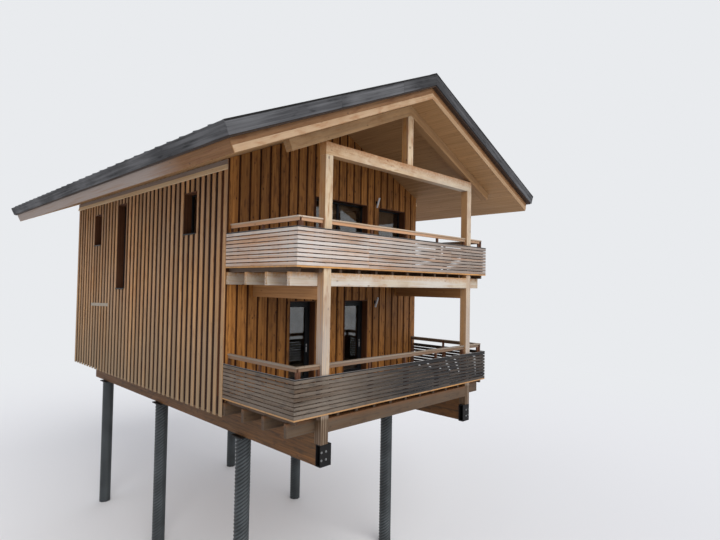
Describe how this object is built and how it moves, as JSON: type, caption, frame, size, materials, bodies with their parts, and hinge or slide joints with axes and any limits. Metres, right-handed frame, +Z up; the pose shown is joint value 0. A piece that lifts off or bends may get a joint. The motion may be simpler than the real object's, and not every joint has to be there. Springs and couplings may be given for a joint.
{
  "type": "alpine chalet on piles",
  "caption": "Two-storey alpine timber chalet on piles, with a gabled roof, an open timber frame and slatted balconies in front of its recessed gable wall; the lower glass doors swing inward.",
  "frame": {"origin": "under the middle of the roof's outline, at the foot of the piles", "axes": "+X to the right along the balcony gable, +Y from the balcony gable to the rear wall, +Z up"},
  "size_m": [11.14, 15.625, 13.9068],
  "materials": {
    "corrugated_pile_steel": "corrugated galvanised steel tube, dull dark grey",
    "black_steel": "matte black coated steel",
    "stained_glulam": "glued spruce stained brown",
    "spruce_glulam": "planed spruce, pale and clear",
    "spruce_rafter": "planed spruce, warm",
    "joist_spruce": "rough spruce joists, darkened",
    "floor_timber": "brushed softwood",
    "larch_battens": "rough-sawn larch battens",
    "larch_boards": "larch boards, oiled",
    "deck_larch": "weathered larch decking",
    "grey_larch_slats": "larch slats weathered to grey",
    "pale_larch_slats": "larch slats, partly weathered",
    "rail_larch": "larch handrail",
    "soffit_panel": "cross-laminated spruce panel",
    "dark_roofing": "dark grey sheet roofing",
    "slate_fascia": "slate-grey stained board",
    "window_glass": "clear insulating glass",
    "anthracite_frame": "anthracite window frame",
    "entrance_oak": "boarded oak door",
    "lamp_metal": "coated metal lamp body"
  },
  "bodies": {
    "house": {"piles": "corrugated_pile_steel", "pile_plates": "black_steel", "foundation_beams": "stained_glulam", "post_shoes": "black_steel", "front_posts": "spruce_glulam", "tie_beam": "spruce_glulam", "king_post": "spruce_glulam", "frame_rafters": "spruce_rafter", "ground_floor": "floor_timber", "upper_floor": "floor_timber", "left_wall": "larch_battens", "right_wall": "larch_battens", "rear_wall": "larch_battens", "lower_front_piers": "larch_boards", "upper_front_wall": "larch_boards", "wall_plates": "spruce_rafter", "gable_rafters": "spruce_rafter", "lower_balcony_beams": "spruce_glulam", "upper_balcony_beams": "spruce_glulam", "side_beams": "spruce_rafter", "lower_joists": "joist_spruce", "upper_joists": "joist_spruce", "lower_deck": "deck_larch", "upper_deck": "deck_larch", "lower_front_slats": "grey_larch_slats", "lower_left_slats": "grey_larch_slats", "lower_right_slats": "grey_larch_slats", "upper_front_slats": "pale_larch_slats", "upper_left_slats": "pale_larch_slats", "upper_right_slats": "pale_larch_slats", "lower_handrail": "rail_larch", "upper_handrail": "rail_larch", "roof_panel_left": "soffit_panel", "roof_panel_right": "soffit_panel", "roof_slope_left": "dark_roofing", "roof_slope_right": "dark_roofing", "ridge_cap": "dark_roofing", "rake_fascias": "slate_fascia", "eave_fascias": "slate_fascia", "lower_door_frames": "anthracite_frame", "upper_door_frames": "anthracite_frame", "upper_door_glass": "window_glass", "window_frames": "anthracite_frame", "window_glass": "window_glass", "entrance_door": "entrance_oak", "wall_lamps": "lamp_metal"},
    "left_balcony_door": {"left_door_leaf": "anthracite_frame", "left_door_glass": "window_glass"},
    "right_balcony_door": {"right_door_leaf": "anthracite_frame", "right_door_glass": "window_glass"}
  },
  "joints": [
    {"name": "left_balcony_door_hinge", "type": "hinge", "parent": "house", "child": "left_balcony_door", "pos_m": [-1.3725, -3.9805, 6.82], "axis": [0, 0, 1], "range_deg": [0, 90]},
    {"name": "right_balcony_door_hinge", "type": "hinge", "parent": "house", "child": "right_balcony_door", "pos_m": [0.677, -3.9805, 6.82], "axis": [0, 0, 1], "range_deg": [0, 90]}
  ]
}
